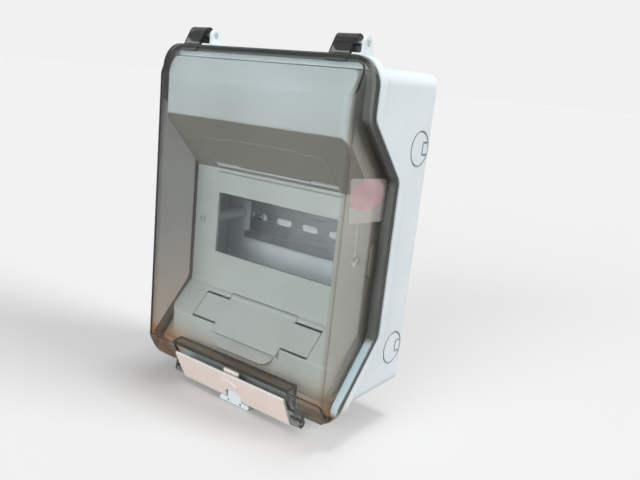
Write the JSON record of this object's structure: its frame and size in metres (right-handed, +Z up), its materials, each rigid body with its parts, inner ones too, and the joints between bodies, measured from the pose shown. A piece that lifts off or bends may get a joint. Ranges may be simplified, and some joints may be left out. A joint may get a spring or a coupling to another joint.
{
  "type": "hinged enclosure",
  "caption": "Wall-mounted polycarbonate enclosure for rail devices: deep pale back box, stepped inner panel with window and flaps, smoke clear hinged cover with bottom latch.",
  "frame": {"origin": "on the wall face, halfway between the four wall fixing holes", "axes": "X to the right seen from the front, Y into the wall, Z up; the wall face is Y=0 and the front is at negative Y"},
  "size_m": [0.177, 0.0895, 0.2611],
  "materials": {
    "box_plastic": "moulded polycarbonate, satin",
    "seal_rubber": "soft light grey seal",
    "cover_clear": "smoke clear polycarbonate, polished",
    "pin_steel": "bright steel",
    "panel_plastic": "moulded polycarbonate, satin",
    "screw_steel": "zinc plated",
    "insert_brass": "turned brass",
    "rail_steel": "zinc plated strip",
    "holder_blue": "moulded nylon",
    "holder_green": "moulded nylon",
    "bar_brass": "sawn brass",
    "latch_plastic": "moulded polycarbonate, polished"
  },
  "bodies": {
    "housing": {"back_box": "box_plastic", "seal": "seal_rubber", "hinge_pin_left": "pin_steel", "hinge_pin_right": "pin_steel", "inner_panel": "panel_plastic", "panel_screws": "panel_plastic", "post_inserts": "insert_brass", "device_rail": "rail_steel", "rail_screws": "screw_steel", "upper_bar_holder": "holder_blue", "upper_terminal_bar": "bar_brass", "upper_terminal_screws": "screw_steel", "upper_holder_screws": "screw_steel", "lower_bar_holder": "holder_green", "lower_terminal_bar": "bar_brass", "lower_terminal_screws": "screw_steel", "lower_holder_screws": "screw_steel"},
    "cover": {"cover": "cover_clear", "latch_pin_left": "pin_steel", "latch_pin_right": "pin_steel"},
    "upper_flap": {"upper_flap": "panel_plastic"},
    "lower_flap": {"lower_flap": "panel_plastic"},
    "latch": {"latch_plate": "latch_plastic"}
  },
  "joints": [
    {"name": "cover_hinge", "type": "hinge", "parent": "housing", "child": "cover", "pos_m": [0, -0.0695, 0.1215], "axis": [-1, 0, 0], "range_deg": [0, 110]},
    {"name": "upper_flap_hinge", "type": "hinge", "parent": "housing", "child": "upper_flap", "pos_m": [0, -0.05113, 0.03243], "axis": [1, 0, 0], "range_deg": [0, 110]},
    {"name": "lower_flap_hinge", "type": "hinge", "parent": "housing", "child": "lower_flap", "pos_m": [0, -0.0512, -0.06539], "axis": [-1, 0, 0], "range_deg": [0, 110]},
    {"name": "latch_hinge", "type": "hinge", "parent": "cover", "child": "latch", "pos_m": [0, -0.0764, -0.12564], "axis": [1, 0, 0], "range_deg": [0, 60]}
  ]
}
